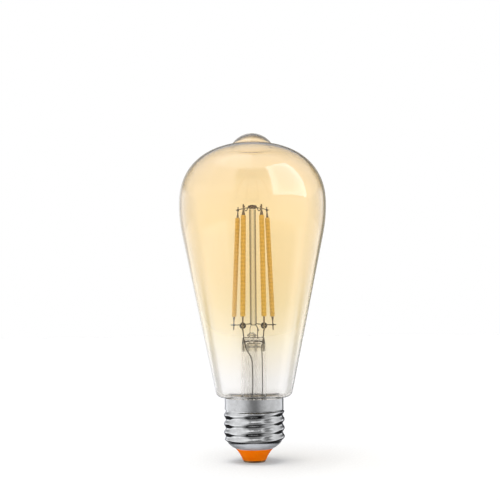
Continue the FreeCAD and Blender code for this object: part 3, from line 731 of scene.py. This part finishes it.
def finished_piece(name, mesh, material, slot, *replaced):
    """A visible piece on the lamp's one body, in place of the CAD nodes named last."""
    piece = add_object(name, mesh)
    mesh.materials.append(material)
    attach(piece, "root")
    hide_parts(*replaced)
    return piece


def envelope_mesh():
    outside = glass_outline(0)
    inside = glass_outline(WALL)[::-1]
    return loft("bulb_glass", round_rings(outside + inside), 256, closed=True)


FLARE_GAP = 0.02          # how far the flare's rim lies inside the neck's radius
PINCH_EDGE = 0.8          # radius of the pinch's upper edge
NIPPLE_SINK = 0.2         # how far the middle of the nipple's arc lies below the pinch's top
NIPPLE_START = 0.1        # where on that arc it starts, in radians
NIPPLE_FOOT = 0.72        # width at the foot, as a share of the full round
NIPPLE_DEPTH = (1.65, 0.2)  # half depth at the foot, and what each ring adds
VENT_Z = (53.0, 51.5, CAVITY_TOP)  # the heights of the vent's rings


def stem_mesh():
    """Flare, tube and pinch with the cavity inside, open through the vent in the nipple."""
    bore_low, bore_top = STEM_LOW_R - STEM_WALL, STEM_TOP_R - STEM_WALL
    outside = [(NECK_R - FLARE_GAP, FLARE_BASE), (NECK_R - FLARE_GAP, NECK_Z - GAP),
               (NECK_R - WALL, NECK_Z - GAP)]
    outside += bezier_points([(NECK_R - WALL, NECK_Z), (7.8, 21.6), (STEM_LOW_R, 24.5),
                              (STEM_LOW_R, FLARE_Z)], 20)
    outside += straight((STEM_LOW_R, FLARE_Z), (STEM_TOP_R, PINCH_Z), 12)
    rings = round_rings(outside)
    for i in range(1, 13):
        t = i / 12
        ease = t * t * (3 - 2 * t)
        rings.append((0, PINCH_Z + (PINCH_TOP - PINCH_EDGE - PINCH_Z) * t,
                      STEM_TOP_R + (PINCH_HALF[0] - STEM_TOP_R) * ease,
                      STEM_TOP_R + (PINCH_HALF[1] - STEM_TOP_R) * ease))
    for i in range(1, 7):
        angle = math.pi / 2 * i / 6
        inset = PINCH_EDGE * (1 - math.cos(angle))
        rings.append((0, PINCH_TOP - PINCH_EDGE + PINCH_EDGE * math.sin(angle),
                      PINCH_HALF[0] - inset, PINCH_HALF[1] - inset))
    top_angle = math.acos(VENT_R / EXHAUST_R)
    for i in range(13):
        angle = NIPPLE_START + (top_angle - NIPPLE_START) * i / 12
        width = EXHAUST_R * math.cos(angle) * min(1, NIPPLE_FOOT + (1 - NIPPLE_FOOT) * i / 3)
        depth = min(width, NIPPLE_DEPTH[0] + NIPPLE_DEPTH[1] * i)
        rings.append((EXHAUST_X, PINCH_TOP - NIPPLE_SINK + EXHAUST_R * math.sin(angle),
                      width, depth))
    rings += [(EXHAUST_X, z, VENT_R, VENT_R) for z in VENT_Z]
    rings.append((0, CAVITY_TOP, *CAVITY_HALF))
    for i in range(1, 7):
        t = i / 6
        rings.append((0, CAVITY_TOP + (PINCH_Z - CAVITY_TOP) * t,
                      CAVITY_HALF[0] + (bore_top - CAVITY_HALF[0]) * t,
                      CAVITY_HALF[1] + (bore_top - CAVITY_HALF[1]) * t))
    inside = straight((bore_top, PINCH_Z), (bore_low, FLARE_Z), 12)
    inside += bezier_points([(bore_low, FLARE_Z), (4.5, 24.2), (7.2, 20.9), (10.0, FLARE_BASE)], 20)
    rings += round_rings(inside)
    return loft("stem_glass", rings, 96, closed=True)


def exhaust_mesh():
    """A tube with a round closed tip below, open above."""
    top = CAVITY_TOP - GAP
    tip = (0, EXHAUST_TIP + EXHAUST_R)
    outside = [(0, EXHAUST_TIP)] + arc_points(tip, EXHAUST_R, -math.pi / 2, 0, 12)
    outside += straight((EXHAUST_R, tip[1]), (EXHAUST_R, top), 10)
    inside = straight((EXHAUST_BORE, top), (EXHAUST_BORE, tip[1]), 10)
    inside += arc_points(tip, EXHAUST_BORE, 0, -math.pi / 2, 12)
    inside[-1] = (0, tip[1] - EXHAUST_BORE)
    rings = round_rings(outside + [(EXHAUST_BORE, top)] + inside, EXHAUST_X)
    return loft("exhaust_glass", rings, 64)


ROD_FOOT = 0.9            # radius of the melted foot
ROD_EDGE = 0.25           # radius of the edge at its top


def rod_mesh():
    """A drawn glass rod, melted round at its foot."""
    low, high = ROD_Z[0], ROD_Z[1] - GAP
    outline = [(0, low), (ROD_R - ROD_FOOT, low)]
    outline += arc_points((ROD_R - ROD_FOOT, low + ROD_FOOT), ROD_FOOT, -math.pi / 2, 0, 10)
    outline += straight(outline[-1], (ROD_R, high - ROD_EDGE), 30)
    outline += arc_points((ROD_R - ROD_EDGE, high - ROD_EDGE), ROD_EDGE, 0, math.pi / 2, 5)
    outline += [(0, high)]
    return loft("rod_glass", round_rings(outline), 64)


def button_mesh():
    """The pressed glass button that holds the upper wires."""
    low = ROD_Z[1] + GAP
    half = (BEAD_T - GAP) / 2
    outline = [(0, low)]
    outline += arc_points((BEAD_R - half, low + half), half, -math.pi / 2, math.pi / 2, 16)
    outline += [(0, low + 2 * half)]
    return loft("button_glass", round_rings(outline), 64)


def make_glass(finishes):
    """The glass pieces. The light named window is mirrored by the envelope alone."""
    amber, clear = finishes["amber_glass"], finishes["clear_glass"]
    bulb = finished_piece("bulb_glass", envelope_mesh(), amber, "amber_glass", "glass_envelope")
    beside_window = bpy.data.collections.new("beside_window")
    beside_window.objects.link(bulb)
    bpy.data.objects["window"].light_linking.receiver_collection = beside_window
    finished_piece("stem_glass", stem_mesh(), clear, "clear_glass", "glass_stem")
    finished_piece("exhaust_glass", exhaust_mesh(), clear, "clear_glass", "exhaust_tube")
    finished_piece("rod_glass", rod_mesh(), clear, "clear_glass", "support_rod")
    dark = clear_glass("button_glass", BUTTON_DENSITY)
    finished_piece("button_glass", button_mesh(), dark, "clear_glass", "rod_top_bead")


# ---- filament coats ----

def coat_section(steps):
    """The rounded outline of a coat's cross section, as (across, outward)."""
    half_w, half_t = COAT_HALF
    spots = []
    for corner in range(4):
        sign_w = 1 if corner in (0, 3) else -1
        sign_t = 1 if corner in (0, 1) else -1
        middle = (sign_w * (half_w - COAT_CORNER), sign_t * (half_t - COAT_CORNER))
        start = corner * math.pi / 2
        for i in range(steps + 1):
            spots.append(around(middle, COAT_CORNER, start + math.pi / 2 * i / steps))
    return spots


COAT_MELT = 0.5           # length of a rounded end
COAT_END_SCALE = 0.55     # the share of the full width that the ends narrow towards
COAT_ROWS = 90
COAT_END_ROWS = 5
COAT_WOBBLE = 0.035       # how much the coat swells and thins, as a share of its width
COAT_SEED_STEP = 3.7      # between the noise of one coat and the next


def coat_mesh(name, low, high, seed):
    """A coat brushed along its strip: slightly uneven, with melted ends."""
    axis = (high - low).normalized()
    outward = Vector((low.x, low.y, 0)).normalized()
    across = axis.cross(outward).normalized()
    outward = across.cross(axis)
    length = (high - low).length
    section = coat_section(5)
    turns = [math.pi / 2 * i / COAT_END_ROWS for i in range(1, COAT_END_ROWS + 1)]
    stations = [(COAT_MELT * (1 - math.cos(turn)), math.sin(turn)) for turn in turns]
    stations += [(COAT_MELT + (length - 2 * COAT_MELT) * i / COAT_ROWS, 1.0)
                 for i in range(1, COAT_ROWS)]
    stations += [(length - s, k) for s, k in stations[:COAT_END_ROWS][::-1]]
    verts, faces = [], []
    for along, swell in stations:
        for a, o in section:
            spot = Vector((a * 0.5, o * 0.5 + seed, along * 0.55))
            wobble = 1 + COAT_WOBBLE * noise.noise(spot)
            scale = (COAT_END_SCALE + (1 - COAT_END_SCALE) * swell) * wobble
            verts.append(low + axis * along + across * a * scale + outward * o * scale)
    count = len(section)
    for row in range(len(stations) - 1):
        for i in range(count):
            after = (i + 1) % count
            a, b = row * count, (row + 1) * count
            faces.append((a + i, a + after, b + after, b + i))
    faces.append(tuple(range(count))[::-1])
    faces.append(tuple(range((len(stations) - 1) * count, len(stations) * count)))
    return smooth_mesh(name, verts, faces, 60)


def make_coats(finishes):
    seed = 0
    for pair, (foot, head) in FILAMENT_ENDS.items():
        for word, mirror in (("left", 1), ("right", -1)):
            low = Vector((foot[0] * mirror, foot[1], COAT_Z[0]))
            high = Vector((head[0] * mirror, head[1], COAT_Z[1]))
            name = f"coat_{pair}_{word}"
            seed += COAT_SEED_STEP
            mesh = coat_mesh(name, low, high, seed)
            finished_piece(name, mesh, finishes["phosphor_coat"], "phosphor_coat",
                           f"filament_{pair}_{word}_coat")


def set_render():
    """Plain colours, and enough bounces for light to cross every wall of glass."""
    scene = bpy.context.scene
    scene.view_settings.view_transform = "Standard"
    scene.cycles.max_bounces = 40
    scene.cycles.transmission_bounces = 36
    scene.cycles.transparent_max_bounces = 40
    scene.cycles.glossy_bounces = 16
    scene.cycles.sample_clamp_indirect = 6


make_camera()
make_world()
make_lights()
make_floor()
finishes = make_finishes()
dress_nodes(finishes)
make_glass(finishes)
make_coats(finishes)
nodes["insulator"].visible_diffuse = False   # so it casts no orange light on the floor
set_render()
